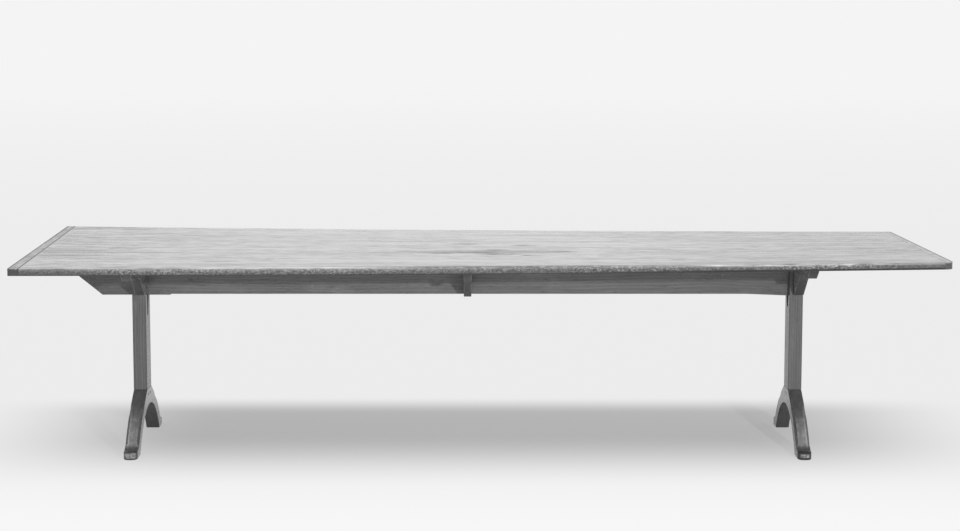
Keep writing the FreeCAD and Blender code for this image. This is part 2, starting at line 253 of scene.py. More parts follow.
def wave(x, spacing, seed):
    """A smooth random line along x from 0 to 1: random heights at even places, joined by cosine steps.

    A quarter of the heights belong to places with a negative x.
    """
    count = 4096
    heights = np.random.default_rng(seed).random(count)
    place = np.asarray(x) / spacing + count // 4
    before = np.floor(place).astype(int)
    share = (1 - np.cos(np.pi * (place - before))) / 2
    return heights[before] * (1 - share) + heights[before + 1] * share


def skin(name, rows, materials, kinds=None):
    """A closed skin over rows of outline points, shaped (rows, points, 3), with a flat face at each end.

    Each outline point is joined to the next one round its row and to the same point of the next row.
    kinds gives the number of the material for each strip along the rows, or for each face of each strip.
    The end faces have the first material. Points that fall together are merged, and the faces are shaded
    as one smooth surface but for sharp arrises.
    """
    count, around = rows.shape[:2]
    corner = np.arange(count - 1)[:, None] * around + np.arange(around)
    beside = np.roll(corner, -1, axis=1)
    quads = np.stack([corner, beside, beside + around, corner + around], axis=-1).reshape(-1, 4)
    ends = [list(range(around))[::-1], list(range((count - 1) * around, count * around))]
    mesh = bpy.data.meshes.new(name)
    mesh.from_pydata(rows.reshape(-1, 3).tolist(), [], quads.tolist() + ends)
    for material in materials:
        mesh.materials.append(material)
    if kinds is not None:
        sides = np.broadcast_to(kinds, (count - 1, around)).ravel()
        mesh.polygons.foreach_set("material_index", np.append(sides, [0, 0]).astype(np.int32))
    same_place = 0.00002
    sharp = math.radians(28)
    shell = bmesh.new()
    shell.from_mesh(mesh)
    bmesh.ops.remove_doubles(shell, verts=shell.verts, dist=same_place)
    bmesh.ops.recalc_face_normals(shell, faces=shell.faces)
    shell.to_mesh(mesh)
    shell.free()
    mesh.polygons.foreach_set("use_smooth", np.ones(len(mesh.polygons), dtype=bool))
    mesh.set_sharp_from_angle(angle=sharp)
    piece = bpy.data.objects.new(name, mesh)
    bpy.context.collection.objects.link(piece)
    return piece


def ease_edges(piece, width, number=0):
    """Rounds the sharp arrises of a piece by width, and gives the rounding the material of that number."""
    bevel = piece.modifiers.new("eased_arrises", "BEVEL")
    bevel.width = width
    bevel.segments = 2
    bevel.limit_method = "ANGLE"
    bevel.angle_limit = math.radians(35)
    bevel.harden_normals = True
    bevel.material = number


def grain_sockets(start, way, heart, offset):
    """Sockets that give the wood's grain at a point: its place, streaks, year rings, fibres and blotches.

    way is the axis that the grain runs along. heart is the distance across and up from the origin to the
    middle of the tree. A ring is a share of the way from one year to the next at the distance from there,
    which wobbles a little, so that rings show as long stripes on faces and as arcs on ends. offset moves
    the pattern along the grain, so that like pieces differ.
    """
    place = start.node("TexCoord", {}, {}, "Object")
    split = start.node("SeparateXYZ", {}, {0: place}, "X")
    x, y, z = (Socket(start.tree, split.output.node.outputs[axis]) for axis in "XYZ")
    along, across, up = {"X": (x, y, z), "Y": (y, x, z), "Z": (z, x, y)}[way]

    def noise(long_scale, side_scale, detail, rough):
        """Noise drawn out along the grain, so many lumps a metre along it and across it."""
        stretched = start.node(
            "CombineXYZ", {}, {0: along * long_scale + offset, 1: across * side_scale, 2: up * side_scale}
        )
        return start.node(
            "TexNoise", {}, {"Vector": stretched, "Scale": 1.0, "Detail": detail, "Roughness": rough}, "Fac"
        )

    rings_per_metre = 110.0
    wobble_reach = 0.05
    side = across + heart[0]
    rise = up + heart[1]
    wobble = noise(1.3, 5.0, 2.0, 0.5)
    distance = (side * side + rise * rise).maths("SQRT") + wobble * wobble_reach
    ring = (distance * rings_per_metre).maths("FRACT")
    return {
        "x": x, "y": y, "z": z, "noise": noise,
        "streaks": noise(1.6, 55.0, 5.0, 0.62),
        "rings": ring.step(0.35, 0.9) * ring.step(1.0, 0.93),
        "fibres": noise(9.0, 420.0, 3.0, 0.6),
        "blotches": noise(2.2, 6.0, 3.0, 0.55),
    }


def finish_wood(start, colour, roughness, height, depth, coat=0.0):
    """Ends a wood material: colour, roughness, relief of this height up to the depth, and a clear coat."""
    bump = start.node("Bump", {}, {"Strength": 1.0, "Distance": depth, "Height": height})
    shader = start.node(
        "BsdfPrincipled",
        {},
        {
            "Base Color": colour, "Roughness": roughness, "Normal": bump,
            "Coat Weight": coat, "Coat Roughness": 0.16,
        },
    )
    start.node("OutputMaterial", {}, {"Surface": shader})


# Dark old stains on the top: middle x and y, half length, half width and strength
stains = (
    (-0.010, -0.116, 0.075, 0.020, 0.95), (0.020, -0.105, 0.320, 0.055, 0.52),
    (-0.130, -0.135, 0.050, 0.018, 0.60), (0.172, -0.185, 0.035, 0.016, 0.75),
    (0.070, -0.160, 0.090, 0.020, 0.75), (-0.050, 0.080, 0.060, 0.022, 0.58),
    (0.160, 0.045, 0.060, 0.020, 0.60), (0.290, -0.100, 0.060, 0.020, 0.60),
    (-0.260, -0.080, 0.040, 0.018, 0.50), (0.050, -0.060, 0.060, 0.018, 0.60),
    (-1.430, -0.120, 0.140, 0.110, 0.30), (-1.400, 0.180, 0.050, 0.030, 0.35),
)
# Stretches of the front edge that are chipped and mottled: from x, to x and strength
chipped = (
    (-1.230, -1.141, 0.80), (-1.092, -0.877, 0.70), (-0.600, -0.100, 0.35),
    (-0.020, 0.340, 0.35), (0.340, 0.680, 0.75), (0.989, 1.385, 0.80),
)


def edge_colour(start, grain, body):
    """The front edge over the body's colour: a dark, dirty face that is chipped and mottled in places.

    drop is how far a point lies below the upper face at the front edge. That face rises along x by a
    straight part, mostly from the winding, and by a squared part, from the bow.
    """
    x, y, z, noise = grain["x"], grain["y"], grain["z"], grain["noise"]
    slope = (corner_lift + (right_rise - left_rise) / 2) / half_long
    bow = (right_rise + left_rise) / 2 / half_long**2
    drop = x * slope + x * x * bow + (top_high - z)
    # The dark face begins a little higher at the left and a little lower at the right
    face = (drop + x.step(-0.3, -0.6) * 0.0014 - x.step(0.60, 0.95) * 0.0020).step(0.0015, 0.0050)
    speckle = noise(150.0, 240.0, 3.0, 0.65)
    colour = speckle.step(0.36, 0.66).blend(grey(0.050), grey(0.240))
    # Painted light makes its rounded upper part paler, most at the right
    colour = (drop.step(0.0110, 0.0040) * (x.step(0.1, 0.7) * 0.22 + 0.45)).blend(colour, grey(0.30))
    # Dark and pale dots show everywhere, and far more on the chipped stretches, which fade in and out
    fade = 0.015
    worn = 0.15
    for first, last, strength in chipped:
        within = x.step(first - fade, first + fade) * x.step(last + fade, last - fade)
        worn = within * strength + worn
    dots = noise(150.0, 210.0, 3.0, 0.65)
    colour = (dots.step(0.46, 0.34) * worn).blend(colour, grey(0.03))
    colour = (x.step(-0.6, 0.5) * 0.31).blend(colour, grey(0.03))
    colour = (dots.step(0.54, 0.64) * worn * 0.9).blend(colour, grey(0.40))
    # The ends are dark with old dirt. Painted shade darkens the lower part, most along the lower arris and
    # at the right
    ends = x.maths("ABSOLUTE").step(1.22, 1.42)
    colour = (ends * 0.45).blend(colour, grey(0.07))
    colour = (drop.step(0.0070, 0.0180) * 0.45).blend(colour, grey(0.045))
    colour = drop.step(0.0190, 0.0225).blend(colour, grey(0.030))
    colour = (drop.step(0.0150, 0.0200) * x.step(0.2, 0.9)).blend(colour, grey(0.015))
    # A pale line, partly bare wood and partly a painted highlight, runs just behind the arris left of the
    # middle, and on it at the right
    front = -half_wide
    behind = y.step(front + 0.026, front + 0.014) * x.step(-1.05, -0.85) * x.step(-0.15, -0.50)
    on_it = y.step(front + 0.009, front + 0.006) * x.step(0.55, 0.80) * x.step(1.38, 1.28)
    line = behind.maths("MAXIMUM", on_it * 0.75)
    body = (line * (noise(12.0, 60.0, 3.0, 0.6) * 2.6 - 0.85)).blend(body, grey(0.70))
    return (face * (1.0 - speckle.step(0.62, 0.78) * 0.6)).blend(body, colour)


def top_wood(name, heart, offset, edged):
    """The pale, worn finish of the top: mottled streaks, faint rings, stains and scratches, with painted
    light and shade.

    A stain is strongest in the middle of its ellipse and fades with the squared distance. The front board
    is edged: it also has the bare strip behind its arris and the dark front edge.
    """
    material, start = new_material(name)
    grain = grain_sockets(start, "X", heart, offset)
    x, y, noise = grain["x"], grain["y"], grain["noise"]
    mottle = noise(6.0, 44.0, 4.0, 0.62)
    dashes = noise(17.0, 70.0, 4.0, 0.62)
    figure = grain["streaks"] * 0.50 + grain["rings"] * 0.08 + mottle * 0.38 + dashes * 0.48
    colour = figure.step(0.56, 0.84).blend(grey(0.08), grey(0.38))
    # Painted light makes the part left of the middle paler, most towards the back, and painted shade makes
    # the right end darker, where the coat is also a little thinner
    painted_light_left_middle = ((x + 0.33) * (x + 0.33)).step(1.2, 0.0)
    colour = (painted_light_left_middle * (y.step(0.0, 0.40) * 0.24 + 0.33)).blend(colour, grey(0.45))
    painted_shade_thin_coat_right = x.step(0.45, 1.35)
    colour = (painted_shade_thin_coat_right * 0.50).blend(colour, grey(0.10))
    stain = 0.0
    for middle_x, middle_y, long, wide, strength in stains:
        off_x, off_y = (x - middle_x) * (1.0 / long), (y - middle_y) * (1.0 / wide)
        stain = (off_x * off_x + off_y * off_y).step(1.3, 0.1) * strength + stain
    stain = stain.maths("MINIMUM", 0.90) * (dashes.step(0.36, 0.62) * 1.3 + 0.25)
    colour = stain.blend(colour, grey(0.04))
    # Fine short scratches run aslant over the boards
    scratch_place = start.node("CombineXYZ", {}, {0: x * 7.0 + y * 9.0, 1: y * 60.0 - x * 34.0, 2: offset})
    scratches = start.node("TexNoise", {}, {"Vector": scratch_place, "Scale": 1.0, "Detail": 2.0}, "Fac")
    colour = (scratches.step(0.70, 0.74) * 0.30).blend(colour, grey(0.50))
    coat = (1.0 - stain * 0.80) * (1.0 - painted_shade_thin_coat_right * 0.15) * (figure.step(0.54, 0.82) * 0.66 + 0.44)
    roughness = grain["blotches"] * 0.16 + grain["streaks"] * 0.10 + 0.20
    if edged:
        # Behind the arris the finish is rubbed off and dirty in the used middle
        front = -half_wide
        patches = noise(46.0, 60.0, 3.0, 0.65)
        bared = y.step(front + 0.044, front + 0.006) * x.step(-0.60, -0.15) * x.step(1.10, 0.10)
        bared = bared * (patches.step(0.30, 0.50) * 0.6 + 0.4)
        colour = bared.blend(colour, patches.step(0.38, 0.64).blend(grey(0.07), grey(0.34)))
        # A dark streak runs behind it further right
        streak = y.step(front + 0.105, front + 0.070) * y.step(front + 0.012, front + 0.030)
        streak = streak * x.step(0.45, 0.75) * x.step(1.45, 1.30) * (mottle * 1.6 - 0.25)
        colour = (streak * 0.60).blend(colour, grey(0.04))
        colour = edge_colour(start, grain, colour)
        coat = coat * y.step(front + 0.001, front + 0.006) * (1.0 - bared) * (1.0 - streak * 0.35)
        roughness = roughness + bared * 0.30
    height = grain["fibres"] * 0.4 + grain["streaks"] * 0.3 + dashes * 0.3
    finish_wood(start, colour, roughness, height, depth=0.0004, coat=coat)
    return material


def front_rounding(x):
    """The radius of the front board's upper arris: small at the ends, larger along the used middle.

    It runs straight between the radii at given places along x, and a wave takes off or adds up to a fifth.
    """
    used = np.interp(
        x,
        (-1.53, -1.25, -1.05, -0.6, 0.2, 0.9, 1.06, 1.2, 1.36, 1.40, 1.54),
        (0.0015, 0.0018, 0.0035, 0.0050, 0.0062, 0.0080, 0.0105, 0.0095, 0.0075, 0.0025, 0.0018),
    )
    return used * (0.80 + 0.40 * wave(x, 0.045, 3))


def front_dents(x):
    """How deep the front arris is knocked in: broad low waves, and a sharp dent where a short wave peaks.

    Both are shallow near the ends, by a share that runs straight between places along x.
    """
    used = np.interp(x, (-1.53, -1.30, -1.20, 1.36, 1.41, 1.54), (0.1, 0.2, 1.0, 1.0, 0.15, 0.1))
    broad_depth = 0.0006
    sharp_depth = 0.0017
    peak, peak_rise = 0.80, 0.20
    broad = broad_depth * wave(x, 0.050, 5)
    sharp = sharp_depth * np.clip((wave(x, 0.016, 7) - peak) / peak_rise, 0, 1)
    return used * (broad + sharp)


def board_rows(x, front, back, front_radius, back_radius, low_radius, dents):
    """Sections of a board at each x: bottom, front face, front arris, top, back arris and back face.

    An arris is a quarter circle of its radius. A dent pushes the front arris into the board and down, and
    the face below it in by shares of its depth that get smaller downwards.
    """
    low_share, face_share, down_share = 0.2, 0.8, 0.4
    inset = 0.02
    turn = np.linspace(0, np.pi / 2, 6)
    flat = np.ones((len(x), 1))
    quarter = flat * np.sin(turn), flat * np.cos(turn)
    radius = np.broadcast_to(front_radius, x.shape)[:, None]
    dent = np.broadcast_to(dents, x.shape)[:, None]
    columns = []
    drops = []

    def add(y, drop):
        columns.append(y * flat)
        drops.append(drop * flat)

    add(np.array([[back - low_radius, front + low_radius]]), np.array([[top_thick, top_thick]]))
    add(front + dent * low_share, np.array([[top_thick - low_radius]]))
    add(front + dent * face_share, radius + (top_thick - radius) * 0.5)
    add(front + dent + radius * (1 - quarter[1]), radius * (1 - quarter[0]) + dent * down_share * quarter[0])
    add(np.linspace(front + inset, back - inset, 9)[None, :], np.zeros((1, 9)))
    add(back - back_radius + back_radius * np.sin(turn)[None, :], back_radius * (1 - np.cos(turn))[None, :])
    add(np.array([[back]]), np.array([[top_thick - low_radius]]))
    y = np.concatenate(columns, axis=1)
    drop = np.concatenate(drops, axis=1)
    places = np.broadcast_to(x[:, None], y.shape)
    return np.stack([places, y, top_face(places, y) - drop], axis=-1)


# Radii of the arrises: at the boards' joints, at the back edge and along the bottom of the front edge
seam = 0.0005
back_arris = 0.0022
low_arris = 0.0012
board_ease = 0.0006
# The name, front and back y, the upper arrises' radii, the heart of the tree and the place along the grain
board_parts = (
    ("board_front", -half_wide, -joint_half, None, seam, (0.52, -0.45), 3.0),
    ("board_middle", -joint_half, joint_half, seam, seam, (0.05, -0.78), 11.0),
    ("board_back", joint_half, half_wide, seam, back_arris, (-0.47, -0.52), 19.0),
)
for name, front, back, front_radius, back_radius, heart, offset in board_parts:
    at_front = front_radius is None
    # A section every 2.5 mm takes the front board's dents, and one every 20 mm the plain boards' bow
    sections = 1226 if at_front else 154
    x = np.linspace(left_shoulder, right_shoulder, sections)
    rows = board_rows(
        x,
        front,
        back,
        front_rounding(x) if at_front else front_radius,
        back_radius,
        low_arris if at_front else seam,
        front_dents(x) if at_front else 0.0,
    )
    worn_wood = top_wood("wood_" + name, heart, offset, at_front)
    board = skin(name.replace("board_", "board."), rows, [worn_wood])
    ease_edges(board, board_ease)
    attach(board, "root")
    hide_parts(name)


# The narrow battens across the ends of the top, which keep the boards flat.
# They are strips of the same wood with the grain across the table, a little darker, grooved over the
# boards' tongues and pinned from below with blind pegs. Their outer corners are rounded by wear.
def batten_wood(side, shoulder, rise, dirt_half, dirt):
    """A batten's finish: like the boards', with bruises, a dirty joint, a dark outer rim and dark sides.

    Along the outer side, which leans in, the distance out plus y times the lean is the same everywhere. The
    sides are dark below the upper face, whose height is the middle's plus the bow's rise, less y times the
    winding's lift. dirt_half is the dirty joint's half width, and dirt is how dark it is.
    """
    material, start = new_material("wood_batten_" + side)
    grain = grain_sockets(start, "Y", (0.30, -0.55), 41.0)
    x, y, noise = grain["x"], grain["y"], grain["noise"]
    mottle = noise(26.0, 34.0, 4.0, 0.6)
    figure = grain["streaks"] * 0.40 + grain["rings"] * 0.08 + mottle * 0.66
    colour = figure.step(0.42, 0.76).blend(grey(0.08), grey(0.27))
    bruises = noise(22.0, 60.0, 3.0, 0.6)
    colour = (bruises.step(0.58, 0.68) * 0.5).blend(colour, grey(0.50))
    colour = (bruises.step(0.42, 0.32) * 0.6).blend(colour, grey(0.05))
    joint = (x - shoulder).maths("ABSOLUTE").step(dirt_half * 1.6, dirt_half * 0.6)
    colour = (joint * dirt).blend(colour, grey(0.03))
    outer = x.maths("ABSOLUTE") + y * (end_taper / (2 * half_wide))
    outer_side = half_long - end_taper / 2
    rim = outer.step(outer_side - 0.010, outer_side - 0.003)
    lift = math.copysign(corner_lift / half_wide, shoulder)
    face = (top_high + rise - y * lift - grain["z"]).step(0.002, 0.005)
    dark = (rim * 0.95).maths("MAXIMUM", face)
    colour = (dark * (0.65 + mottle * 0.5)).blend(colour, grey(0.045))
    roughness = grain["blotches"] * 0.20 + 0.26
    height = grain["fibres"] * 0.6 + grain["streaks"] * 0.4
    coat = (1.0 - dark) * (1.0 - joint * dirt) * (mottle * 0.9 + 0.22)
    finish_wood(start, colour, roughness, height, depth=0.0004, coat=coat)
    return material


def batten_rows(inner, outer, front_radius, back_radius):
    """Sections of an end batten at each y, as a rectangle whose outer side leans in towards the back.

    Within a corner's radius of an end, the outer side stands back by the radius less the circle's height
    there. The sections lie closer towards each end, by the square of their number.
    """
    batten_thick = top_thick - 0.0002
    close = np.linspace(0, 1, 9) ** 2
    y = np.concatenate([
        -half_wide + front_radius * close,
        np.linspace(-half_wide + front_radius, half_wide - back_radius, 180)[1:-1],
        half_wide - back_radius * close[::-1],
    ])
    radius = np.where(y < 0, front_radius, back_radius)
    into = np.clip(radius - (half_wide - np.abs(y)), 0, None)
    stand_back = radius - np.sqrt(radius**2 - into**2)
    taper = end_taper * (y + half_wide) / (2 * half_wide)
    edge = outer - np.sign(outer) * (stand_back + taper)
    x = np.stack([np.full_like(y, inner), edge, edge, np.full_like(y, inner)], axis=1)
    ys = np.broadcast_to(y[:, None], x.shape)
    drop = np.array([0, 0, batten_thick, batten_thick])
    return np.stack([x, ys, top_face(x, ys) - drop], axis=-1)


# The side, inner and outer x, the corners' radii, the joint's dirt and the width of the eased arrises
for side, inner, outer, front_radius, back_radius, dirt_half, dirt, eased in (
    ("left", left_shoulder, -half_long, 0.007, 0.007, 0.0040, 1.0, 0.0012),
    ("right", right_shoulder, half_long, 0.026, 0.012, 0.0025, 0.35, 0.0040),
):
    worn_wood = batten_wood(side, inner, station_rises[0 if inner < 0 else -1], dirt_half, dirt)
    batten = skin("end_batten." + side, batten_rows(inner, outer, front_radius, back_radius), [worn_wood])
    ease_edges(batten, eased)
    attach(batten, "root")
    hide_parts("end_batten_" + side)


# The two shaped arms across the posts and the thinner cleat across the middle of the top.
# Each is sawn from dark stained hardwood: a blunt nose, a flat, a small step, a cove and a long slope.
# They are notched over the rail and screwed up into the boards, and the arms are let into the posts.
left_post = -1.204
right_post = 1.118
cleat_middle = -0.043
half_post = 0.024
arm_thick = 0.034
cleat_thick = 0.027
cleat_lower = 0.0055
arm_bottom = 0.538
lap_height = 0.607
rail_half = 0.018
nose_out = 0.332
nose_high = 0.6685
nose_bulge = 0.002
flat_out = 0.282
flat_high = 0.6285
step_out = 0.202
cove_high = 0.624
cove_radius = 0.120
slope_foot = 0.054
arm_ease = 0.0020
# Upper ends are drawn up to here and then cut to the top's underside
above_top = 0.9


def dark_wood(name, way, heart, offset, low, high, worn=0.0, rough=0.26, painted_shade_ends=0.0):
    """Dark stained wood between a low and a high tone, with streaks, faint rings, rubbed places and pores.

    worn is how bare its rubbed spots are, and painted_shade_ends gives painted shade: how much darker it
    gets towards the table's ends.
    """
    material, start = new_material(name)
    grain = grain_sockets(start, way, heart, offset)
    noise = grain["noise"]
    figure = grain["streaks"] * 0.50 + grain["rings"] * 0.12 + grain["fibres"] * 0.34
    figure = figure + grain["blotches"] * 0.22
    colour = figure.step(0.36, 0.84).blend(grey(low), grey(high))
    rubbed = noise(5.0, 11.0, 4.0, 0.6)
    colour = (rubbed.step(0.55, 0.75) * 0.30).blend(colour, grey(high * 1.7))
    if worn:
        colour = (noise(14.0, 40.0, 3.0, 0.6).step(0.40, 0.60) * worn).blend(colour, grey(high * 2.6))
    # Painted shade darkens the wood towards the table's ends
    if painted_shade_ends:
        beyond = (grain["x"] + 0.25).maths("ABSOLUTE").step(0.70, 1.35)
        colour = (beyond * painted_shade_ends).blend(colour, grey(low * 0.5))
    pores = noise(30.0, 700.0, 2.0, 0.5).step(0.36, 0.28)
    colour = (pores * 0.5).blend(colour, grey(low * 0.4))
    roughness = grain["blotches"] * 0.14 + rubbed * 0.10 + (rough - 0.12)
    height = grain["fibres"] * 0.55 + grain["streaks"] * 0.45 - pores * 0.5
    finish_wood(start, colour, roughness, height, depth=0.0007)
    return material


def arc_points(start, middle, end, count):
    """Points on the circle through three points of a plane, from start by middle to end, at even angles."""
    start, middle, end = (np.asarray(point, dtype=float) for point in (start, middle, end))
    sides = 2 * np.array([middle - start, end - start])
    centre = np.linalg.solve(sides, [middle @ middle - start @ start, end @ end - start @ start])
    angles = np.unwrap([math.atan2(*(point - centre)[::-1]) for point in (start, middle, end)])
    turn = np.linspace(angles[0], angles[2], count)[:, None]
    return centre + np.linalg.norm(start - centre) * np.concatenate([np.cos(turn), np.sin(turn)], axis=1)


def bowed_points(start, end, bulge, count):
    """Points of an arc from start to end whose middle stands to the left of the way by bulge."""
    start, end = np.array(start), np.array(end)
    way = end - start
    left = np.array([-way[1], way[0]]) / np.linalg.norm(way)
    return arc_points(start, (start + end) / 2 + left * bulge, end, count)


def arm_rows(x0, x1, bottom):
    """An arm's outline carried along X: notch, level bottom, slope, cove, step, flat, nose and top.

    The cove is an arc that turns through 40 degrees and ends level, and the nose bulges a little. The back
    half mirrors the front one. All but the notch and the level bottom is raised as the winding and the bow
    raise the top there, and the upper edge is cut to the top's underside.
    """
    turn = np.radians(np.linspace(40, 0, 10))[:, None]
    cove_y = -step_out + cove_radius * np.sin(turn)
    cove_z = cove_high - cove_radius * (1 - np.cos(turn))
    cove = np.concatenate([cove_y, cove_z], axis=1)
    nose = bowed_points((-flat_out, flat_high), (-nose_out, nose_high), nose_bulge, 6)
    level = np.array([(-rail_half, lap_height), (-rail_half, bottom), (-slope_foot, bottom)])
    winding = np.concatenate([cove, [(-step_out, flat_high)], nose, [(-nose_out, above_top)]])
    front = np.concatenate([level, winding])
    outline = np.concatenate([front, (front * (-1, 1))[::-1]])
    raised = np.concatenate([np.zeros(len(level)), np.ones(2 * len(winding)), np.zeros(len(level))])
    x = np.array([x0, x1])[:, None] * np.ones(len(outline))
    y = np.broadcast_to(outline[:, 0], x.shape)
    raised_z = outline[:, 1] + raised * (top_face(x0, outline[:, 0]) - top_high)
    return np.stack([x, y, np.minimum(raised_z, top_face(x, y) - top_thick)], axis=-1)


arm_worn = dark_wood("wood_arm_arrises", "Y", (0.3, 0.4), 5.0, low=0.06, high=0.10, worn=0.35)
# The name, node, right face, thickness, height of the bottom, place along the grain and sawn faces' tone
arm_parts = (
    ("arm.left", "arm_left", left_post + half_post, arm_thick, arm_bottom, 51.0, 0.040),
    ("arm.right", "arm_right", right_post + half_post, arm_thick, arm_bottom, 57.0, 0.022),
    (
        "cleat.middle", "cleat_middle", cleat_middle + cleat_thick / 2, cleat_thick,
        arm_bottom - cleat_lower, 63.0, 0.040,
    ),
)
for name, node, right_face, thick, bottom, offset, dark in arm_parts:
    # The flat sides are painted paler than the sawn outline, as painted light, since little light reaches
    # them under the top
    stained = dark_wood("wood_" + node, "Y", (0.4, 0.35), offset, low=0.150, high=0.240)
    sawn = dark_wood("wood_sawn_" + node, "Y", (0.3, 0.4), offset + 3.0, dark, dark * 2, rough=0.38)
    rows = arm_rows(right_face - thick, right_face, bottom)
    arm = skin(name, rows, [stained, arm_worn, sawn], [2] * rows.shape[1])
    ease_edges(arm, arm_ease, 1)
    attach(arm, "root")
    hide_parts(node)


# The long rail on edge under the top: one dark stained board, lapped from above for the arms and the cleat.
# Its left end runs past the post and is cut to a long slope, and it is a little deeper at both ends.
rail_bottom = 0.536
rail_left_low = 0.533
rail_right_low = 0.530
# Along X: from the top's left end to both ends of the slope, from the left post's middle to the end of the
# deeper stretch there, and from the right post's left face to the start of the other
slope_top = 0.0467
slope_low = 0.228
left_deep = 0.109
right_deep = 0.150
rail_ease = 0.0020


def rail_rows():
    """The rail's outline carried across its thickness, with its upper edge cut to the top's underside.

    The outline goes along the bottom from the left, up the right end, and back over the three laps.
    """
    right_end = right_post + half_post
    post_face = right_post - half_post
    cleat_a, cleat_b = cleat_middle - cleat_thick / 2, cleat_middle + cleat_thick / 2
    arm_a, arm_b = left_post + half_post - arm_thick, left_post + half_post
    outline = np.array([
        (-half_long + slope_top, above_top),
        (-half_long + slope_low, rail_left_low),
        (left_post + left_deep, rail_left_low),
        (left_post + left_deep, rail_bottom),
        (post_face - right_deep, rail_bottom),
        (post_face, rail_right_low),
        (right_end, rail_right_low),
        (right_end, lap_height),
        (right_end - arm_thick, lap_height),
        (right_end - arm_thick, above_top),
        (cleat_b, above_top),
        (cleat_b, lap_height),
        (cleat_a, lap_height),
        (cleat_a, above_top),
        (arm_b, above_top),
        (arm_b, lap_height),
        (arm_a, lap_height),
        (arm_a, above_top),
    ])
    y = np.array([-rail_half, rail_half])[:, None] * np.ones(len(outline))
    x = np.broadcast_to(outline[:, 0], y.shape)
    z = np.minimum(outline[:, 1], top_face(x, y) - top_thick)
    return np.stack([x, y, z], axis=-1)


# The rail gets painted shade towards its ends, where less light reaches it
rail_wood = dark_wood("wood_rail", "X", (0.45, 0.30), 71.0, low=0.088, high=0.156, painted_shade_ends=0.45)
rail_worn = dark_wood("wood_rail_arrises", "X", (0.45, 0.30), 72.0, low=0.07, high=0.12, worn=0.4)
rail = skin("rail.long", rail_rows(), [rail_wood, rail_worn])
ease_edges(rail, rail_ease, 1)
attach(rail, "root")
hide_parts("rail")


# The two posts: thick uprights of the same dark wood, tenoned and pegged into the feet.
# Each is forked over the rail, and the fork's slot runs on below the rail and narrows.
# The right part of the fork is cut away down to the bottom of the arm, which is let in there.
post_deep = 0.040
shoulder_high = 0.195
slot_front = -0.012
slot_back = 0.002
post_ease = 0.0018


def post_rows(x, slot_low):
    """A post's forked outline carried along X, with the fork's right part ending under the arm.

    The outline has points at the arm's bottom. Right of the cheek, all above them is pressed down to it.
    """
    outline = np.array([
        (-post_deep, shoulder_high), (-post_deep, arm_bottom), (-post_deep, above_top),
        (-rail_half, above_top), (-rail_half, arm_bottom), (-rail_half, rail_right_low),
        (slot_front, slot_low), (slot_back, slot_low),
        (rail_half, rail_right_low), (rail_half, arm_bottom), (rail_half, above_top),
        (post_deep, above_top), (post_deep, arm_bottom), (post_deep, shoulder_high),
    ])
    cheek = x + half_post - arm_thick
    planes = np.array([x - half_post, cheek, cheek, x + half_post])[:, None]
    xs = planes * np.ones(len(outline))
    y = np.broadcast_to(outline[:, 0], xs.shape)
    ceiling = np.array([above_top, above_top, arm_bottom, arm_bottom])[:, None]
    z = np.minimum(np.minimum(outline[:, 1], top_face(xs, y) - top_thick), ceiling)
    return np.stack([xs, y, z], axis=-1)


post_worn = dark_wood("wood_post_arrises", "Z", (0.2, 0.3), 81.0, low=0.05, high=0.10, rough=0.40)
# The side, middle, slot's end, place along the grain and the wood's two tones, darker at the right as
# painted shade
for side, x, slot_low, offset, low, high in (
    ("left", left_post, 0.460, 83.0, 0.080, 0.148),
    ("right", right_post, 0.490, 89.0, 0.067, 0.124),
):
    post_wood = dark_wood("wood_post_" + side, "Z", (0.28, 0.22), offset, low, high)
    post = skin("post." + side, post_rows(x, slot_low), [post_wood, post_worn])
    ease_edges(post, post_ease, 1)
    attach(post, "root")
    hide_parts("post_" + side)


# The two arched feet, each sawn from one thick plank and stained dark, with the flat sides painted paler as
# painted light.
# From the post they slope down over a knee and a shin to a low toe, rounded in plan.
# Broad stopped chamfers run along the outer arrises of the legs.
foot_plank = 0.024
toe_out = 0.258
toe_radius = 0.017
toe_start = 0.241


def foot_curves():
    """Matching points of a foot's outer and inner outline, from the front toe's tip to the middle.

    Each stretch of the outer outline, a line or a shallow arc, is paired with a stretch of the inner one.
    Toe, ankle, shin, knee and thigh follow one another outside, and sole, arch and crown inside.
    """
    tip, toe_round, toe_top = (-toe_out, 0.010), (-0.25331, 0.02131), (-0.242, 0.026)
    instep, ankle, knee = (-0.238, 0.026), (-0.213, 0.042), (-0.156, 0.112)
    thigh, shoulder, middle = (-0.130, 0.134), (-post_deep, shoulder_high), (0.0, shoulder_high)
    sole_tip, sole_round, sole_back, heel = (-toe_out, 0.0), (-0.247, 0.0), (-0.240, 0.0), (-0.190, 0.0)
    arch_bend, arch_upper, crown = (-0.112, 0.094), (-0.070, 0.120), (0.0, 0.136)
    arch_side = bowed_points(heel, arch_bend, 0.006, 41)
    arch_crown = arc_points(arch_bend, arch_upper, crown, 41)
    line = np.linspace
    pairs = (
        (arc_points(tip, toe_round, toe_top, 7), line(sole_tip, sole_round, 7)),
        (line(toe_top, instep, 2), line(sole_round, sole_back, 2)),
        (bowed_points(instep, ankle, -0.003, 8), line(sole_back, heel, 8)),
        (bowed_points(ankle, knee, 0.003, 25), arch_side[:25]),
        (bowed_points(knee, thigh, 0.0025, 17), arch_side[24:]),
        (line(thigh, shoulder, 25), arch_crown[:25]),
        (line(shoulder, middle, 17), arch_crown[24:]),
    )
    outer = np.concatenate([pair[0][:-1] for pair in pairs] + [[middle]])
    inner = np.concatenate([pair[1][:-1] for pair in pairs] + [[crown]])
    return outer, inner


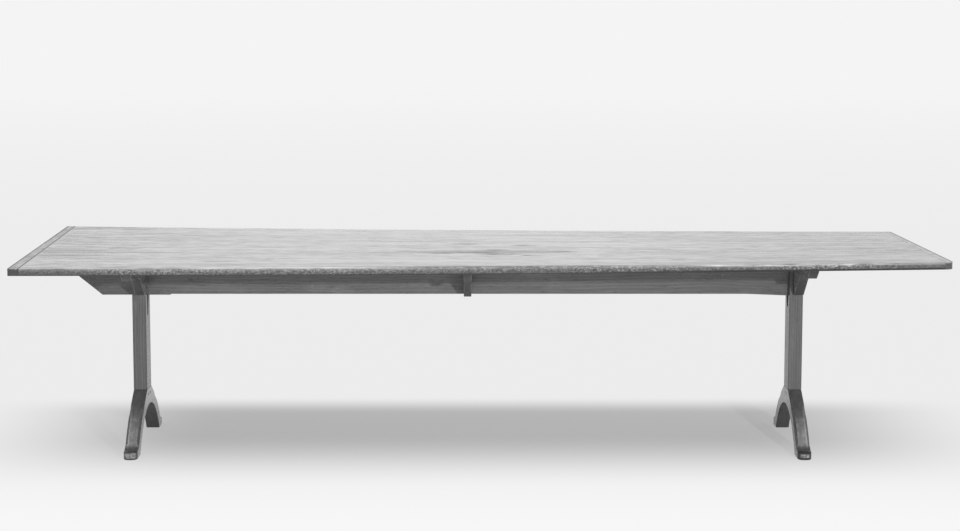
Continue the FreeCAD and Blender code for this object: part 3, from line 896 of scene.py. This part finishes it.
def foot_rows(x):
    """Sections of a foot from its front toe over the crown to its back toe.

    Each joins an outer to an inner point and has the plank's width, less at the toes, whose corners are
    quarter circles in plan. The outer corners are cut off by a chamfer, which is broad between two heights
    and runs out smoothly at both. The arch's arrises are cut off by a small even one.
    """
    least_cut = 0.0016
    broad_cut = 0.0062
    chamfer_low, low_run = 0.036, 0.010
    chamfer_high, high_run = 0.160, 0.012
    outer, inner = foot_curves()
    outer = np.concatenate([outer, (outer * (-1, 1))[-2::-1]])
    inner = np.concatenate([inner, (inner * (-1, 1))[-2::-1]])
    thick = np.linalg.norm(outer - inner, axis=1, keepdims=True)
    inward = (inner - outer) / thick

    def half_width(out):
        into = np.clip(np.abs(out) - (toe_out - toe_radius), 0, toe_radius)
        return foot_plank - (toe_radius - np.sqrt(toe_radius**2 - into**2))

    height = outer[:, 1:]
    above = np.clip((height - chamfer_low) / low_run, 0, 1)
    below = np.clip((chamfer_high - height) / high_run, 0, 1)
    stopped = above * below
    cut = least_cut + broad_cut * stopped * stopped * (3 - 2 * stopped)
    # The corners round a section: the side, how much narrower it is, the curve and how far inward it is
    corners = (
        (-1, least_cut, inner, 0.0), (-1, 0.0, inner, -least_cut),
        (-1, 0.0, outer, cut), (-1, cut, outer, 0.0),
        (1, cut, outer, 0.0), (1, 0.0, outer, cut),
        (1, 0.0, inner, -least_cut), (1, least_cut, inner, 0.0),
    )
    points = []
    for side, narrower, curve, deeper in corners:
        spot = curve + inward * deeper
        across = x + side * (half_width(curve[:, :1]) - narrower)
        points.append(np.concatenate([across, spot], axis=1))
    return np.stack(points, axis=1)


def foot_leg_wood(name, offset, outer_side):
    """The stained upper faces of a foot: dark by the post, paler down the legs by wear and painted light,
    and black on the toes.

    aside goes from -1 to 1 across the plank, to the side where the leg is most worn. outer_side is -1 or 1
    for that side, the one towards the table's near end. The tip of each toe is dark, partly as painted
    shade, with a pale patch in its middle, partly bare wood and partly painted light.
    """
    material, start = new_material(name)
    grain = grain_sockets(start, "Y", (0.5, 0.25), offset)
    x, y, z, noise = grain["x"], grain["y"], grain["z"], grain["noise"]
    at_left = outer_side < 0
    aside = (x - (left_post if at_left else right_post)) * (outer_side / foot_plank)
    figure = grain["streaks"] * 0.50 + grain["fibres"] * 0.34 + grain["blotches"] * 0.30
    # Painted light and shade make the right foot darker than the left one, and less of its toes is bare
    shade = 1.05 if at_left else 0.84
    tip_tone, bare_tone = (0.040, 0.26) if at_left else (0.025, 0.29)
    bare_low, bare_high, bare_half = (0.0030, 0.0260, 0.98) if at_left else (0.0060, 0.0215, 0.80)
    stained = figure.step(0.36, 0.84).blend(grey(0.055 * shade), grey(0.110 * shade))
    # The lower legs are paler, partly by wear and partly by painted light
    rubbed = figure.step(0.38, 0.76).blend(grey(0.13 * shade), grey(0.34 * shade))
    leg = z.step(0.165, 0.060) * z.step(0.028, 0.048)
    wear = leg * (aside * 0.22 + noise(14.0, 60.0, 2.0, 0.5) * 0.9 + 0.28)
    colour = wear.maths("MINIMUM", 1.0).blend(stained, rubbed)
    line = aside.step(0.42, 0.56) * aside.step(0.74, 0.64)
    colour = (line * leg * 0.55).blend(colour, grey(0.34))
    # Each toe is dark, partly as painted shade round its rounded edges, and its middle is paler, partly bare
    # wood and partly painted light
    tip = y.maths("ABSOLUTE").step(toe_start - 0.005, toe_start)
    colour = tip.blend(colour, grey(tip_tone))
    bare = z.step(bare_low, bare_low + 0.005) * z.step(bare_high, bare_high - 0.006)
    bare = bare * aside.maths("ABSOLUTE").step(bare_half, bare_half - 0.40)
    bare = bare * tip * (noise(90.0, 110.0, 3.0, 0.6).step(0.36, 0.60) * 0.8 + 0.25)
    colour = bare.blend(colour, grey(bare_tone))
    roughness = grain["blotches"] * 0.14 + tip * 0.10 + 0.16
    height = grain["fibres"] * 0.6 + grain["streaks"] * 0.4
    finish_wood(start, colour, roughness, height, depth=0.0006)
    return material


foot_dark = dark_wood("wood_foot_chamfers", "Y", (0.5, 0.25), 97.0, low=0.050, high=0.095, rough=0.40)
# The arch's faces are darker as painted shade
foot_arch = dark_wood("wood_foot_arch", "Y", (0.5, 0.25), 99.0, low=0.028, high=0.060, rough=0.40)
# The side, middle, place along the grain, outer side and the flat sides' darker tone, paler at the left as
# painted light
for side, x, offset, outer_side, tone in (
    ("left", left_post, 101.0, -1, 0.160),
    ("right", right_post, 107.0, 1, 0.145),
):
    foot_side = dark_wood("wood_foot_" + side, "Y", (0.5, 0.25), offset, tone, tone * 1.7, rough=0.22)
    foot_leg = foot_leg_wood("wood_foot_legs_" + side, offset + 3.0, outer_side)
    rows = foot_rows(x)
    # Round a section the faces are arris, side, chamfer, leg, chamfer, side, arris and arch
    kinds = np.tile([3, 2, 1, 0, 1, 2, 3, 3], (len(rows) - 1, 1))
    # The whole toe has the leg's finish
    kinds[np.abs(rows[:-1, 3, 1]) > toe_start, 1:6] = 0
    foot = skin("foot." + side, rows, [foot_leg, foot_dark, foot_side, foot_arch], kinds)
    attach(foot, "root")
    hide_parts("foot_" + side)


# What holds the table together: loose tongues in the boards' joints, round pegs and wood screws.
# Little of it shows: the pegs' ends, flush in the posts, in the feet and under the battens, and the screws
# in their pockets.
def screw_steel():
    """Dull steel with faint turning marks and darker spots."""
    material, start = new_material("dull_steel")
    grain = grain_sockets(start, "Z", (0.0, 0.0), 1.0)
    spots = grain["noise"](180.0, 220.0, 3.0, 0.6)
    colour = spots.step(0.45, 0.70).blend(grey(0.36), grey(0.20))
    shader = start.node(
        "BsdfPrincipled", {}, {"Metallic": 1.0, "Base Color": colour, "Roughness": spots * 0.30 + 0.30}
    )
    start.node("OutputMaterial", {}, {"Surface": shader})
    return material


across_pegs = dark_wood("wood_across_pegs", "X", (0.05, 0.04), 113.0, low=0.045, high=0.090)
upright_pegs = dark_wood("wood_upright_pegs", "Z", (0.05, 0.04), 127.0, low=0.045, high=0.090)
tongue_wood = dark_wood("wood_tongues", "X", (0.25, 0.20), 131.0, low=0.10, high=0.16)
steel = screw_steel()
held_by = {
    "arm_pegs_left": across_pegs, "arm_pegs_right": across_pegs,
    "foot_pegs_left": across_pegs, "foot_pegs_right": across_pegs,
    "batten_pegs_left": upright_pegs, "batten_pegs_right": upright_pegs,
    "loose_tongue_front": tongue_wood, "loose_tongue_back": tongue_wood,
    "screws_arm_left": steel, "screws_arm_right": steel, "screws_cleat_middle": steel,
}
for node, material in held_by.items():
    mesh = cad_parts[node].data
    mesh.materials.clear()
    mesh.materials.append(material)
